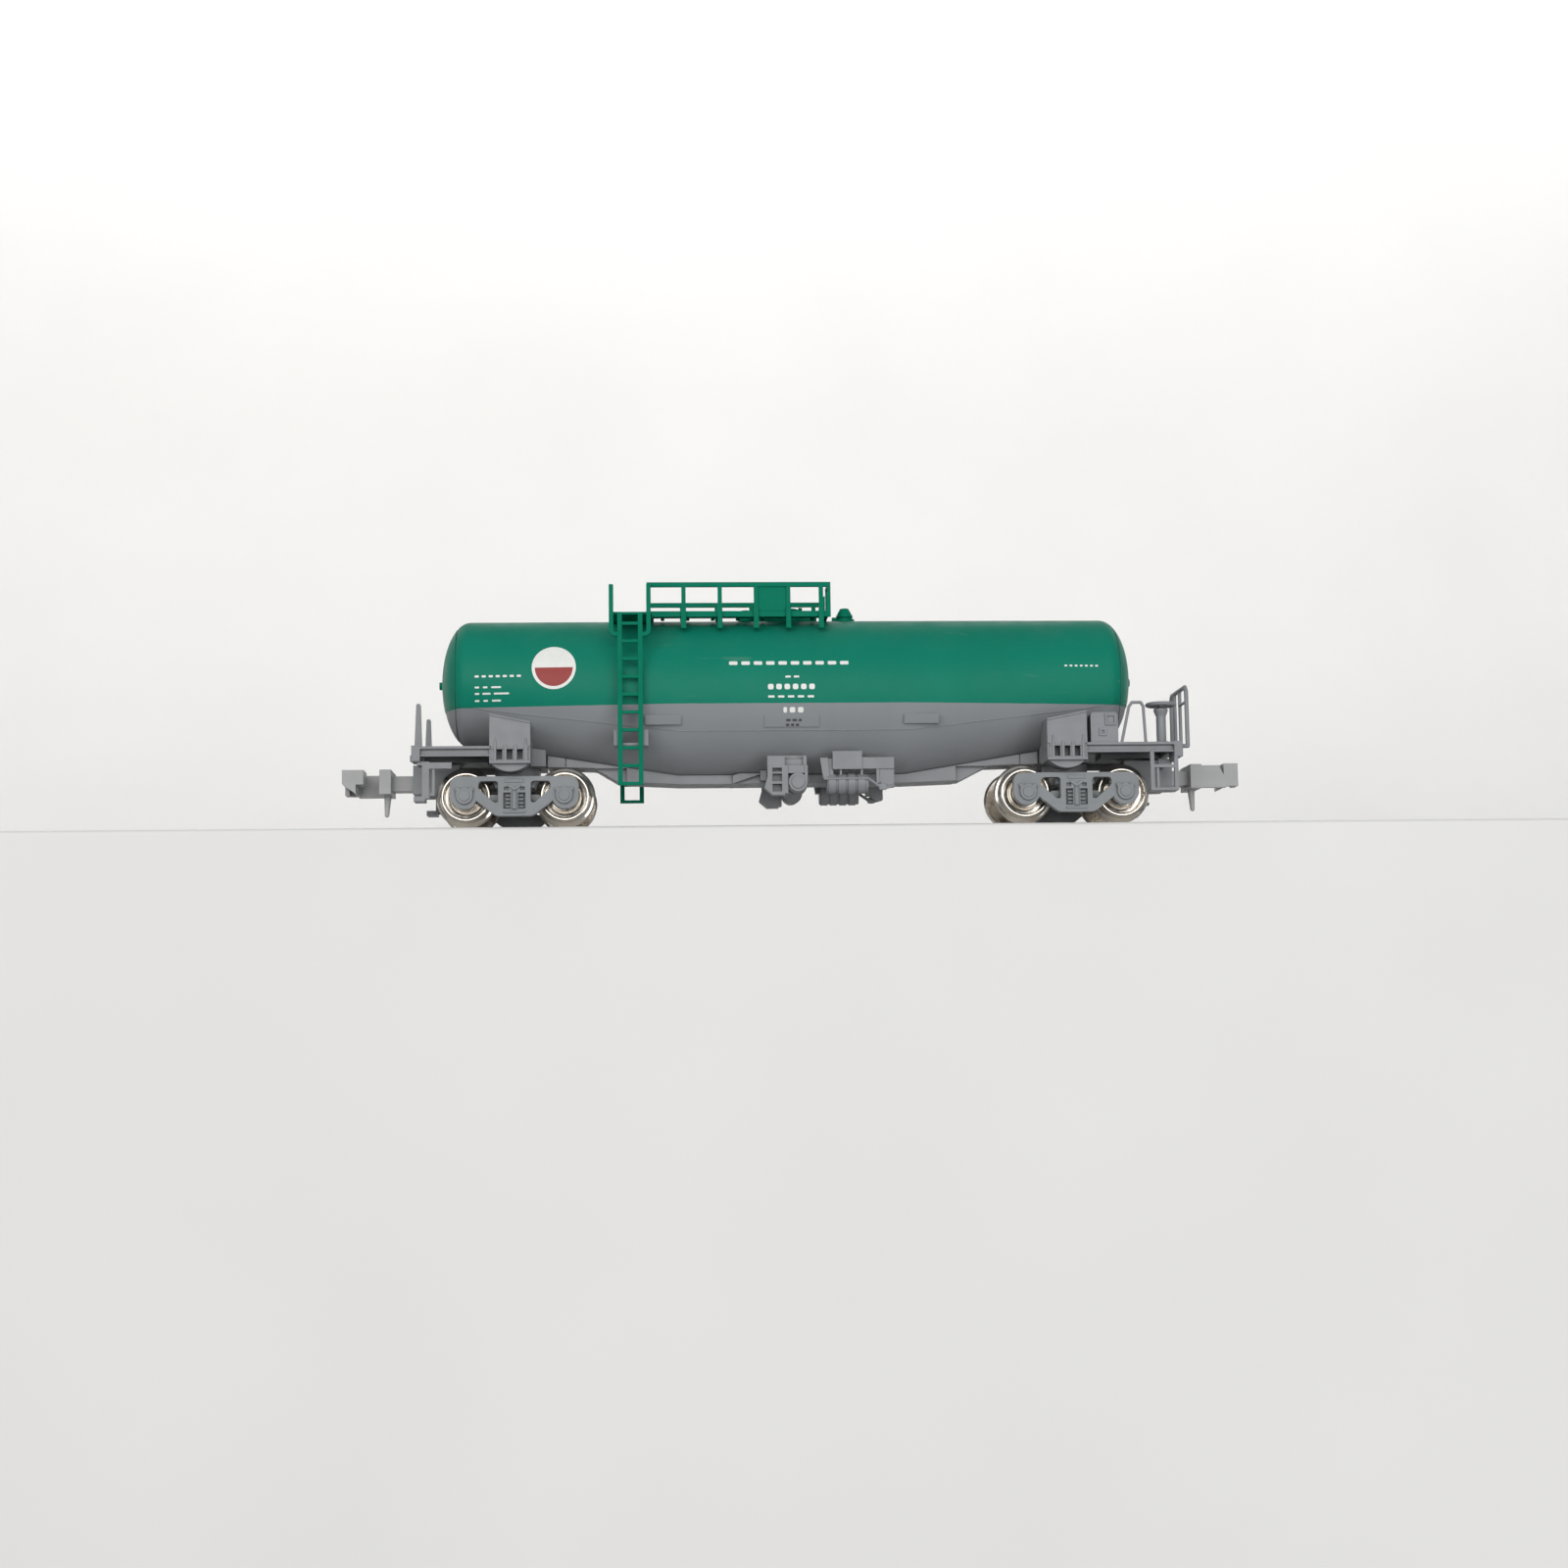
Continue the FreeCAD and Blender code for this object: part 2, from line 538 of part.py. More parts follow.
def reservoir_unit(side):
    """Control valve box, mounting plates and the air reservoir with its pipe."""
    y = side * BRAKE_Y
    back = side * 6.2
    z = RESERVOIR_Z
    parts = [box(4.0, 7.3, back, y, z + 1.45, z + 3.5)]
    parts.append(box(7.3, 10.9, back, y - side * 0.15, z + 1.5, z + 2.8))
    strut = [(2.6, z + 2.8), (3.5, z + 2.8), (3.7, z + 0.4), (3.0, z + 0.2)]
    parts.append(prism_xz(strut, back, y - side * 0.4))
    parts.append(box(3.4, 4.1, back, y - side * 0.5, z + 0.85, z + 2.7))
    gusset = [(9.2, z + 1.6), (10.9, z + 1.6), (10.9, z - 0.55), (9.8, z - 0.55), (9.2, z + 0.1)]
    parts.append(prism_xz(gusset, back, y - side * 0.3))
    parts.append(box(8.9, 9.25, back, y - side * 0.2, z - 0.1, z + 1.6))
    parts.append(cyl(1.06, (3.4, side * 6.3, z), (8.0, side * 6.3, z)))
    for x in (3.55, 4.65, 5.75, 6.85):
        parts.append(cyl(1.18, (x, side * 6.3, z), (x + 0.8, side * 6.3, z)))
    for x in (4.8, 7.15):
        parts.append(box(x, x + 0.25, back, y - side * 0.3, z + 0.8, z + 1.6))
    py, pz = side * 7.35, z + 0.42
    parts.append(rod([(3.0, py, pz), (8.0, py, pz), (9.6, py, pz - 1.15), (10.9, py, pz - 0.8)], 0.17))
    parts.append(box(9.2, 10.0, side * 7.0, side * 7.5, z - 0.85, z - 0.2))
    parts.append(box(3.0, 3.4, side * 6.6, side * 7.5, pz - 0.15, pz + 0.15))
    body = fuse(parts).cut(tank_solid(-0.02)).cut(NODES["keel"])
    name = "air_reservoir_far" if side > 0 else "air_reservoir_near"
    NODES[name] = largest(body)


def equipment_box(side):
    """Valve cabinet on the front deck beside the cradle, with two raised square frames."""
    y = side * 9.15
    back = side * 7.3
    x0, x1 = 32.9, 36.0
    body = box(x0, x1, back, y, SILL_TOP, 12.05)
    depth = abs(y - back)
    upper = [e for e in body.Edges if abs(e.BoundBox.YLength - depth) < 1e-6 and e.BoundBox.ZMin > 11]
    body = body.makeFillet(0.4, upper)
    parts = [body]
    for cx, cz, w, h in ((35.15, 11.2, 1.25, 1.25), (34.25, 9.8, 0.8, 0.85)):
        ring = box(cx - w / 2, cx + w / 2, y - side * 0.05, y + side * 0.15, cz - h / 2, cz + h / 2)
        half_w, half_h = w / 2 - 0.22, h / 2 - 0.22
        bore = box(cx - half_w, cx + half_w, y - side * 0.2, y + side * 0.3, cz - half_h, cz + half_h)
        parts.append(ring.cut(bore))
    name = "valve_cabinet_far" if side > 0 else "valve_cabinet_near"
    NODES[name] = fuse(parts)


def side_handrail(side):
    """Bent rod handrail on the front deck, wider at its foot."""
    y = side * 9.0
    z0, z1 = SILL_TOP, 13.15
    pts = [(36.4, y, z0), (37.3, y, z1 - 0.5), (37.65, y, z1)]
    pts += [(38.65, y, z1), (38.92, y, z1 - 0.45), (39.1, y, z0)]
    name = "side_handrail_far" if side > 0 else "side_handrail_near"
    NODES[name] = rod(pts, 0.17).cut(NODES["underframe_front"])


def hand_brake():
    """Hand-brake pillar on the front deck with its flat wheel."""
    x, y, z = 41.35, -6.9, 12.9
    parts = [cyl(0.55, (x, y, SILL_TOP), (x, y, z - 1.1))]
    parts += [cone(0.55, 0.8, (x, y, z - 1.1), (x, y, z - 0.5))]
    parts += [cyl(0.8, (x, y, z - 0.5), (x, y, z - 0.25)), cyl(0.28, (x, y, z - 0.3), (x, y, z + 0.55))]
    parts += [box(x - 0.62, x + 0.62, y - 0.62, y + 0.62, SILL_TOP, SILL_TOP + 0.3)]
    rim = Part.makeTorus(1.5, 0.22, Vector(x, y, z + 0.25), Vector(0, 0, 1))
    spokes = []
    for k in range(5):
        a = radians(90 + 72 * k)
        spokes.append(cyl(0.15, (x, y, z + 0.25), (x + 1.5 * cos(a), y + 1.5 * sin(a), z + 0.25)))
    parts += [cyl(0.45, (x, y, z), (x, y, z + 0.45))]
    NODES["hand_brake"] = fuse(parts + spokes + [rim])


def end_handrail():
    """Tall handrail frame held off the front end beam, beside the hand brake."""
    root = DECK_END_FRONT + BEAM_DEPTH - 0.1
    x = root + 0.85
    foot, top = 8.25, 15.0
    frame = [(root, -8.5, foot), (x, -8.5, foot), (x, -8.5, top - 0.55), (x, -7.95, top)]
    frame += [(x, -1.35, top), (x, -0.8, top - 0.55), (x, -0.8, foot), (root, -0.8, foot)]
    parts = [rod(frame, 0.24)]
    for y in (-5.2, -2.6):
        parts.append(rod([(root, y, foot), (x, y, foot), (x, y, top)], 0.2))
    parts.append(rod([(x, -8.5, 13.3), (x, -5.2, 13.3)], 0.16))
    NODES["end_handrail_front"] = fuse(parts).cut(NODES["underframe_front"])


def end_posts():
    """Pair of tapered upright posts on the rear end beam."""
    x, foot, top = -42.1, SILL_TOP + 0.1, 13.8
    outline = [(x - 0.42, foot, 0.02), (x + 0.42, foot, 0.02), (x + 0.24, top, 0.2), (x - 0.24, top, 0.2)]
    NODES["end_post_near"] = rounded_prism_xz(outline, -6.45, -5.95)
    NODES["end_post_far"] = rounded_prism_xz(outline, 5.95, 6.45)


def front_step(side):
    """Shunter's step at a front corner: two stiles, a rung and a tread."""
    y = side * 9.3
    back = side * 8.9
    parts = [box(39.5, 39.95, y, back, 3.2, 7.55), box(42.2, 42.65, y, back, 3.2, 7.0)]
    parts += [box(39.5, 42.65, y, back, 5.75, 6.1), box(39.5, 42.65, y, side * 6.9, 3.2, 3.5)]
    parts += [box(40.9, 42.4, side * 7.0, side * 6.7, 3.2, 7.0)]
    parts += [box(40.9, 41.25, side * 8.9, side * 6.9, 5.8, 6.05)]
    parts += [box(40.2, 40.5, y - side * 0.1, back, 3.4, 5.8)]
    parts += [box(42.2, 42.65, y, side * 6.8, 6.6, 7.0)]
    parts += [box(39.5, 39.95, y, side * 8.2, 7.0, 7.55)]
    name = "step_front_far" if side > 0 else "step_front_near"
    NODES[name] = fuse(parts)


def rear_step(side):
    """Shunter's step at a rear corner: a bent plate with a tread."""
    y = side * 8.9
    parts = [box(-41.45, -40.65, y, y - side * 0.5, 2.9, 7.0)]
    parts += [box(-41.45, -38.2, y, y - side * 0.4, 6.2, 6.9)]
    parts += [box(-42.35, -41.1, y, side * 6.6, 2.6, 3.15)]
    parts += [box(-40.35, -40.05, y - side * 0.1, y - side * 0.4, 3.2, 6.4)]
    parts += [box(-41.45, -40.2, y - side * 0.1, y - side * 0.4, 3.2, 3.5)]
    parts += [box(-42.0, -41.1, y, side * 6.6, 6.6, 7.0)]
    name = "step_rear_far" if side > 0 else "step_rear_near"
    NODES[name] = fuse(parts)


# ------------------------------------------------------------------ bogies


def side_frame(side):
    """Cast side frame as a flat plate with triangular openings, axle boxes and a spring nest."""
    y0, y1 = side * FRAME_IN_Y, side * FRAME_OUT_Y
    z = AXLE_Z
    top = z + FRAME_TOP
    reach = FRAME_END_X
    bar = [(-reach, z - 0.4, 0.02), (-reach, top, 1.0), (reach, top, 1.0), (reach, z - 0.4, 0.02)]
    belly = [(-5.2, z + 0.8, 0.02), (-4.25, z - 0.62, 0.6), (-2.05, z + FRAME_BOTTOM, 1.2)]
    belly += [(2.05, z + FRAME_BOTTOM, 1.2), (4.25, z - 0.62, 0.6), (5.2, z + 0.8, 0.02)]
    parts = [rounded_prism_xz(bar, y0, y1), rounded_prism_xz(belly, y0, y1)]
    for end in (-1, 1):
        x = end * WHEELBASE / 2
        parts.append(cyl(1.5, (x + end * 0.1, y0, z - 0.05), (x + end * 0.1, y1, z - 0.05)))
        face = y1 + side * 0.34
        parts.append(cyl(0.9, (x, y1 - side * 0.3, z - 0.12), (x, face, z - 0.12)))
        parts.append(box(x - 0.9, x + 0.9, y1 - side * 0.3, face, z - 0.12, z + 0.5))
        parts.append(cyl(0.6, (x, face, z - 0.1), (x, face + side * 0.1, z - 0.1)))
        for lug in (-1, 1):
            parts.append(box(x + lug * 0.5, x + lug * 1.0, y1, face - side * 0.04, z + 0.45, z + 0.78))
        shoe = end * 2.5
        parts.append(cyl(0.37, (shoe, y0 + side * 0.1, z - 0.25), (shoe, y0 - side * 0.55, z - 0.25)))
        parts.append(box(end * 1.6, shoe, y0 + side * 0.1, y0 - side * 0.55, z - 0.62, z + 0.12))
    frame = fuse(parts)
    tools = []
    for end in (-1, 1):
        window = [(end * 3.95, z + 1.54, 0.42), (end * 1.8, z + 1.54, 0.35), (end * 1.8, z - 0.85, 0.2)]
        window += [(end * 2.25, z - 0.85, 0.4), (end * 4.0, z + 0.72, 0.5)]
        tools.append(rounded_prism_xz(window, y0, y1 + side * 0.1))
        tools.append(box(end * 0.42, end * 1.22, y1 - side * 0.55, y1 + side * 0.1, z - 1.55, z + 0.25))
        tools.append(box(end * 0.62, end * 1.15, y1 - side * 0.3, y1 + side * 0.1, z + 0.5, z + 0.9))
    frame = cut(frame, tools)
    nest = []
    for end in (-1, 1):
        for k in range(4):
            zc = z - 1.32 + 0.42 * k
            nest.append(cyl(0.15, (end * 0.4, y1 - side * 0.36, zc), (end * 1.0, y1 - side * 0.36, zc)))
    nest.append(cyl(0.34, (0, y1 - side * 0.1, z - 1.6), (0, y1 - side * 0.1, z + 0.4)))
    chevron = [(-0.8, z + 1.0), (0, z + 0.45), (0.8, z + 1.0), (0.5, z + 1.15), (0, z + 0.8)]
    nest.append(prism_xz(chevron + [(-0.5, z + 1.15)], y1, y1 + side * 0.14))
    nest.append(box(-1.0, 1.0, y1, y1 + side * 0.08, z + 1.38, z + 1.72))
    nest.append(box(-1.2, 1.2, y1, y1 + side * 0.12, z - 2.0, z - 1.8))
    return fuse([frame] + nest)


def axle_profile_radius(y):
    slope = (AXLE_R - 0.1) / (AXLE_TIP_Y - 5.9)
    return AXLE_R - slope * (y - 5.9)


def axle_sockets():
    """Conical bearings for the pointed axle ends."""
    tools = []
    for x in (-WHEELBASE / 2, WHEELBASE / 2):
        for side in (-1, 1):
            r0 = axle_profile_radius(FRAME_IN_Y - 0.2) + PIVOT_CLEARANCE
            r1 = axle_profile_radius(AXLE_TIP_Y) + PIVOT_CLEARANCE
            a = (x, side * (FRAME_IN_Y - 0.2), AXLE_Z)
            b = (x, side * AXLE_TIP_Y, AXLE_Z)
            tools.append(cone(r0, r1, a, b))
            tools.append(cyl(r1, b, (x, side * (AXLE_TIP_Y + 0.06), AXLE_Z)))
    return tools


def coupler_pocket():
    """Open-bottomed housing at the outer end of the bogie for the coupler tail and its spring."""
    roof = 7.3
    outer = box(POCKET_X0, POCKET_X1, -POCKET_Y, POCKET_Y, 4.05, roof)
    cavity = box(POCKET_X0 + 0.45, 10.3, -2.45, 2.45, 3.9, 6.95)
    throat = prism_xz([(10.2, 3.9), (10.2, 6.6), (11.7, 6.95), (11.7, 3.9)], -1.75, 1.75)
    return outer.cut(cavity).cut(throat)


def bogie_frame():
    parts = [side_frame(-1), side_frame(1)]
    parts.append(box(-2.2, 2.2, -FRAME_IN_Y - 0.1, FRAME_IN_Y + 0.1, 4.3, 5.3))
    parts.append(cyl(2.9, (0, 0, 4.3), (0, 0, 5.72)))
    arm = fuse([box(1.8, POCKET_X0 + 0.1, side * 1.2, side * 2.9, 4.3, 5.3) for side in (-1, 1)])
    parts += [arm.Solids[0], arm.Solids[1], coupler_pocket()]
    parts.append(box(2.0, POCKET_X0 + 0.1, -1.3, 1.3, 4.3, 4.75))
    body = fuse(parts)
    hole = cyl(PIN_R + PIVOT_CLEARANCE, (0, 0, 4.0), (0, 0, 6.0))
    return cut(body, [hole] + axle_sockets())


def pocket_cover():
    """Clip-in floor of the coupler pocket; the coupler shank rests on it."""
    plate = box(POCKET_X0 + 0.47, POCKET_X1, -1.73, 1.73, 4.05, 4.5)
    wide = box(POCKET_X0 + 0.47, 10.28, -2.43, 2.43, 4.05, 4.5)
    return fuse([plate, wide])


def coupler_spring():
    """Coil spring that presses on the tail of the coupler."""
    length = 1.5
    turns = 4
    wire_r = 0.11
    mean_r = 0.5
    helix = Part.makeHelix((length - 2 * wire_r) / turns, length - 2 * wire_r, mean_r)
    start = Vector(mean_r, 0, 0)
    profile = Part.Wire(Part.Circle(start, Vector(0, 1, 0), wire_r).toShape())
    coil = Part.Wire(helix).makePipeShell([profile], True, True)
    coil.rotate(Vector(0, 0, 0), Vector(0, 1, 0), 90)
    x = COUPLER_PIVOT_X - 0.75 - 0.02 - length + wire_r
    return moved(coil, x, 0, COUPLER_Z)


def coupler_hook():
    """Hook coupler: T-shaped tail, shank, cross plate with trip pin, one side arm and a heavy nose."""
    z = COUPLER_Z
    x = COUPLER_PIVOT_X
    tip = COUPLER_TIP_X
    tail = cyl(0.75, (x, -2.2, z), (x, 2.2, z))
    shank = box(x, tip - 5.2, -1.2, 1.2, z - 0.85, z + 0.85)
    plate = box(tip - 5.5, tip - 4.2, -2.7, 2.7, z - 1.3, z + 1.45)
    arm = box(tip - 4.4, tip - 1.4, -2.7, -1.95, z - 1.25, z + 1.3)
    notch = prism_xz([(tip - 2.2, z + 1.4), (tip - 1.65, z + 1.4), (tip - 1.65, z + 0.2)], -2.8, -1.8)
    block = box(tip - 1.65, tip, -2.7, -0.5, z - 1.1, z + 1.5)
    beak = [(tip - 2.4, z + 1.45), (tip - 2.4, z - 0.2), (tip - 1.55, z - 0.2), (tip - 1.55, z - 1.25)]
    nose = prism_xz(beak + [(tip - 0.1, z - 0.25), (tip, z - 0.05), (tip, z + 1.45)], -0.6, 2.5)
    pin = cone(0.42, 0.26, (tip - 4.9, 0, z - 1.2), (tip - 4.8, 0, z - 3.45))
    pin_tip = Part.makeSphere(0.26, Vector(tip - 4.8, 0, z - 3.45))
    hollow = box(tip - 1.2, tip - 0.5, -1.9, 1.7, z - 1.5, z + 0.9)
    return fuse([tail, shank, plate, arm.cut(notch), block, nose, pin, pin_tip]).cut(hollow)


def bogies():
    frame = bogie_frame()
    cover = pocket_cover()
    spring = coupler_spring()
    hook = coupler_hook()
    for name, degrees, x in (("front", 0, BOGIE_X), ("rear", 180, -BOGIE_X)):
        NODES["bogie_frame_" + name] = moved(turn_about_z(frame, degrees), x)
        NODES["pocket_cover_" + name] = moved(turn_about_z(cover, degrees), x)
        NODES["coupler_spring_" + name] = moved(turn_about_z(spring, degrees), x)
        NODES["coupler_" + name] = moved(turn_about_z(hook, degrees), x)


# ------------------------------------------------------------------ wheelsets


def wheel(bore_r):
    """Turned metal wheel on the Y axis, back face at Y = 0, with its recessed outer face."""
    back = [(bore_r, 0.1), (1.4, 0.1), (1.6, 0.0), (3.15, 0.0)]
    flange = [(FLANGE_R, 0.2), (FLANGE_R, 0.32), (3.22, 0.55), (TREAD_R + 0.12, 0.66)]
    tread = [(TREAD_R, 0.85), (TREAD_R - 0.05, 1.75)]
    tread += [(TREAD_R - 0.13, WHEEL_W - 0.06), (TREAD_R - 0.24, WHEEL_W)]
    web = [(2.55, WHEEL_W), (2.47, 1.7), (2.38, 1.36), (2.28, 1.3), (1.86, 1.24), (1.76, 1.34)]
    ring = [(1.70, 1.72), (1.62, 1.78), (1.52, 1.78), (1.46, 1.7), (1.40, 1.34)]
    hub = [(1.28, 1.3), (1.22, HUB_Y), (bore_r, HUB_Y)]
    points = back + flange + tread + web + ring + hub
    wire = Part.makePolygon([Vector(r, y, 0) for r, y in points + points[:1]])
    return Part.Face(wire).revolve(Vector(0, 0, 0), Vector(0, 1, 0), 360)


def axle():
    """Steel axle with pointed ends."""
    parts = [cyl(AXLE_R, (0, -5.9, 0), (0, 5.9, 0))]
    for side in (-1, 1):
        parts.append(cone(AXLE_R, 0.1, (0, side * 5.9, 0), (0, side * AXLE_TIP_Y, 0)))
    return fuse(parts)


def insulating_bush():
    """Plastic sleeve that insulates one wheel from its axle."""
    y0 = BACK_TO_BACK / 2
    outer = cyl(BUSH_R, (0, y0 + 0.1, 0), (0, y0 + HUB_Y, 0))
    return outer.cut(cyl(AXLE_R, (0, y0, 0), (0, y0 + WHEEL_W, 0)))


def wheelsets():
    plain = mirror_y(moved(wheel(AXLE_R), 0, BACK_TO_BACK / 2))
    insulated = moved(wheel(BUSH_R), 0, BACK_TO_BACK / 2)
    shaft = axle()
    bush = insulating_bush()
    outer, inner = BOGIE_X + WHEELBASE / 2, BOGIE_X - WHEELBASE / 2
    for number, x in enumerate((outer, inner, -inner, -outer), 1):
        NODES["axle_%d" % number] = moved(shaft, x, 0, AXLE_Z)
        NODES["wheel_%d_near" % number] = moved(plain, x, 0, AXLE_Z)
        NODES["wheel_%d_far" % number] = moved(insulated, x, 0, AXLE_Z)
        NODES["insulating_bush_%d" % number] = moved(bush, x, 0, AXLE_Z)


def build():
    tank_shells()
    ballast()
    manhole()
    vent_valve()
    walkway_deck()
    underframe(1)
    underframe(-1)
    keel_node()
    for side in (-1, 1):
        walkway_rail(side)
        ladder(side)
        ladder_bracket(side)
        brake_cylinder_unit(side)
        reservoir_unit(side)
        equipment_box(side)
        side_handrail(side)
        front_step(side)
        rear_step(side)
    king_pin(1)
    king_pin(-1)
    hand_brake()
    end_handrail()
    end_posts()
    bogies()
    wheelsets()


build()
os.makedirs("parts", exist_ok=True)
for name in sorted(NODES):
    NODES[name].exportStep("parts/%s.step" % name)
    shape = NODES[name]
    print("%-26s solids %d valid %s volume %9.2f" % (name, len(shape.Solids), shape.isValid(), shape.Volume))
print("nodes", len(NODES))
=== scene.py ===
from math import cos, pi, sin, sqrt

import bmesh
import bpy
from mathutils import Matrix, Vector


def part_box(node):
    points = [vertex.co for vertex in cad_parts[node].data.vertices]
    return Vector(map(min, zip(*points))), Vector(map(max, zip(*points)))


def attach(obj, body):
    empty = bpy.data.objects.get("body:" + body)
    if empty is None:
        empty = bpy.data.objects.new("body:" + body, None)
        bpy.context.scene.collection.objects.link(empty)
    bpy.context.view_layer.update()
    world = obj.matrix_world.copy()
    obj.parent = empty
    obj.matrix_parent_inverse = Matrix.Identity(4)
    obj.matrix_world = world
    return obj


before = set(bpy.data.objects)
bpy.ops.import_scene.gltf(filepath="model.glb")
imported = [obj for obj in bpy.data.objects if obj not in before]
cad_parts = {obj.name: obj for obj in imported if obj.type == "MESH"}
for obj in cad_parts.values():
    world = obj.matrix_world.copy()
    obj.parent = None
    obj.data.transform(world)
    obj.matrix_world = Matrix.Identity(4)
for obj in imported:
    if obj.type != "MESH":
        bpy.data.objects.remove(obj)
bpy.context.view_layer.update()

MM = 0.001

# ---- colours, linear
GREEN_PAINT = (0.005, 0.192, 0.125)
GREEN_PLASTIC = (0.0, 0.172, 0.100)
GRAY_PAINT = (0.250, 0.262, 0.275)
GRAY_PLASTIC = (0.222, 0.230, 0.243)
GRAY_BOGIE = (0.215, 0.228, 0.238)
GRAY_COUPLER = (0.330, 0.335, 0.335)
NICKEL = (0.76, 0.72, 0.66)
STEEL = (0.42, 0.41, 0.40)
BLACK_PLASTIC = (0.018, 0.018, 0.020)
DUST = (0.42, 0.40, 0.36)
PRINT_WHITE = (0.80, 0.81, 0.78)
PRINT_RED = (0.30, 0.022, 0.018)
PRINT_DARK = (0.06, 0.06, 0.065)

# ---- the tank: its extent read from the frame, and its paint line, barrel, radii, ends and seam
TANK_LO, TANK_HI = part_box("tank_shell_upper")
TANK_TOP = TANK_HI.z
PAINT_LINE_Z = 13.3 * MM
TANK_MID_X = (-13.2 * MM, 12.6 * MM)
TANK_R_MID, TANK_R_END = 9.1 * MM, 7.25 * MM
TANK_HEAD = 3.65 * MM
PART_LINE_Z, PART_LINE_SLOPE = 10.4 * MM, 0.124

# ---- printed markings: lift of each ink off the paint, and the badge's centre and radius
INK_LIFT, SECOND_INK_LIFT = 0.02 * MM, 0.035 * MM
BADGE_X, BADGE_Z, BADGE_R = -27.0 * MM, 17.6 * MM, 2.46 * MM

# ---- viewpoint
CAMERA_AT = (-16.5 * MM, -272.2 * MM, -25.7 * MM)
CAMERA_YAW, CAMERA_PITCH, CAMERA_ROLL = 0.0567, 0.113, 0.0137
CAMERA_LENS = 54.94


# ------------------------------------------------------------------ material nodes


class Nodes:
    """A material under construction: short calls that add and join shader nodes."""

    def __init__(self, name, roughness, metallic=0.0):
        self.material = bpy.data.materials.new(name)
        self.material.use_nodes = True
        self.tree = self.material.node_tree
        self.shader = self.tree.nodes["Principled BSDF"]
        self.shader.inputs["Roughness"].default_value = roughness
        self.shader.inputs["Metallic"].default_value = metallic
        self.coords = self.tree.nodes.new("ShaderNodeTexCoord")
        self.normal = None

    def feed(self, socket, value):
        """Sets the socket to a constant, or links another node's output to it."""
        if isinstance(value, (int, float, tuple)):
            if isinstance(value, tuple) and len(value) == 3 and len(socket.default_value) == 4:
                value = (*value, 1.0)
            socket.default_value = value
        else:
            self.tree.links.new(value, socket)

    def position(self):
        return self.coords.outputs["Object"]

    def axes(self):
        """The position's three parts."""
        split = self.tree.nodes.new("ShaderNodeSeparateXYZ")
        self.feed(split.inputs[0], self.position())
        return split.outputs

    def facing(self):
        """The surface normal's three parts, fixed to the piece."""
        split = self.tree.nodes.new("ShaderNodeSeparateXYZ")
        self.feed(split.inputs[0], self.coords.outputs["Normal"])
        return split.outputs

    def math(self, operation, a, b=0.0, c=0.0):
        node = self.tree.nodes.new("ShaderNodeMath")
        node.operation = operation
        for socket, value in zip(node.inputs, (a, b, c)):
            self.feed(socket, value)
        return node.outputs[0]

    def step(self, value, start, end, low=0.0, high=1.0):
        """Rises from low at start to high at end, and stays there."""
        node = self.tree.nodes.new("ShaderNodeMapRange")
        node.interpolation_type = "SMOOTHSTEP"
        for socket, number in zip(node.inputs, (value, start, end, low, high)):
            self.feed(socket, number)
        return node.outputs[0]

    def noise(self, size, detail=3.0, stretch=(1.0, 1.0, 1.0)):
        """Smooth noise whose features are about size metres across."""
        mapping = self.tree.nodes.new("ShaderNodeMapping")
        self.feed(mapping.inputs["Vector"], self.position())
        mapping.inputs["Scale"].default_value = stretch
        node = self.tree.nodes.new("ShaderNodeTexNoise")
        self.feed(node.inputs["Vector"], mapping.outputs[0])
        node.inputs["Scale"].default_value = 1.0 / size
        node.inputs["Detail"].default_value = detail
        return node.outputs[0]

    def mix(self, share, a, b):
        node = self.tree.nodes.new("ShaderNodeMix")
        node.data_type = "RGBA"
        self.feed(node.inputs[0], share)
        self.feed(node.inputs[6], a)
        self.feed(node.inputs[7], b)
        return node.outputs[2]

    def tint(self, colour, share):
        """The colour lightened or darkened by a share, as a constant."""
        return tuple(min(1.0, c * (1.0 + share)) for c in colour)

    def bump(self, height, distance, strength=1.0):
        """Adds a bump on top of the normal so far."""
        node = self.tree.nodes.new("ShaderNodeBump")
        self.feed(node.inputs["Height"], height)
        node.inputs["Distance"].default_value = distance
        node.inputs["Strength"].default_value = strength
        if self.normal is not None:
            self.feed(node.inputs["Normal"], self.normal)
        self.normal = node.outputs[0]
        self.feed(self.shader.inputs["Normal"], self.normal)

    def edges(self, radius):
        """Softens sharp edges to the radius; returns one along them, zero on open faces."""
        rounded = self.tree.nodes.new("ShaderNodeBevel")
        rounded.samples = 4
        rounded.inputs["Radius"].default_value = radius
        plain = self.tree.nodes.new("ShaderNodeNewGeometry")
        dot = self.tree.nodes.new("ShaderNodeVectorMath")
        dot.operation = "DOT_PRODUCT"
        self.feed(dot.inputs[0], rounded.outputs[0])
        self.feed(dot.inputs[1], plain.outputs["Normal"])
        self.normal = rounded.outputs[0]
        return self.step(dot.outputs["Value"], 0.98, 0.80)

    def recess_shade_mask(self, reach):
        """Ambient-occlusion mask for painted shade: one deep in corners and recesses, falling to
        zero on open faces.
        """
        node = self.tree.nodes.new("ShaderNodeAmbientOcclusion")
        node.samples = 6
        node.inputs["Distance"].default_value = reach
        return self.step(node.outputs["AO"], 0.80, 0.25)

    def colour(self, value):
        self.feed(self.shader.inputs["Base Color"], value)

    def roughness(self, value):
        self.feed(self.shader.inputs["Roughness"], value)


